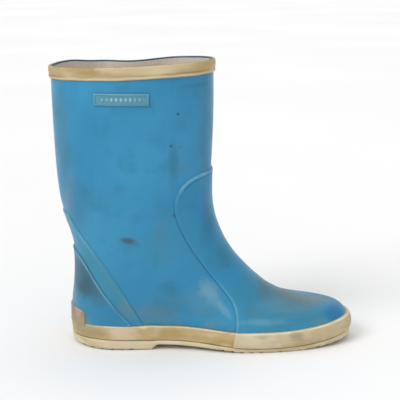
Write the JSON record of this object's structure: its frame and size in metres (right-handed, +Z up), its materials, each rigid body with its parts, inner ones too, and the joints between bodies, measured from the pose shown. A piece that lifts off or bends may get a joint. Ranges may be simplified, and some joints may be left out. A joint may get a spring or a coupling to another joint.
{
  "type": "rubber boot",
  "caption": "Child's pull-on rubber boot for the right foot: blue upper with overlaid instep and heel sheets, cream sole edge and collar strip, blank badge.",
  "frame": {"origin": "bottom centre of the bounding box, on the floor that the boot stands on", "axes": "+X to the toe, +Y to the inner side of the foot, +Z up; the outer side, with the badge, faces -Y"},
  "size_m": [0.2378, 0.087, 0.2239],
  "materials": {
    "blue_rubber": "satin",
    "cream_rubber": "matte",
    "scuff_rubber": "matte",
    "insole_foam": "matte"
  },
  "bodies": {
    "root": {"upper": "blue_rubber", "vamp": "blue_rubber", "ankle_stay": "blue_rubber", "heel_counter": "blue_rubber", "heel_tab": "scuff_rubber", "foxing": "cream_rubber", "toe_strip": "cream_rubber", "collar_strip": "cream_rubber", "badge": "blue_rubber", "outsole": "cream_rubber", "insole": "insole_foam"}
  },
  "joints": []
}
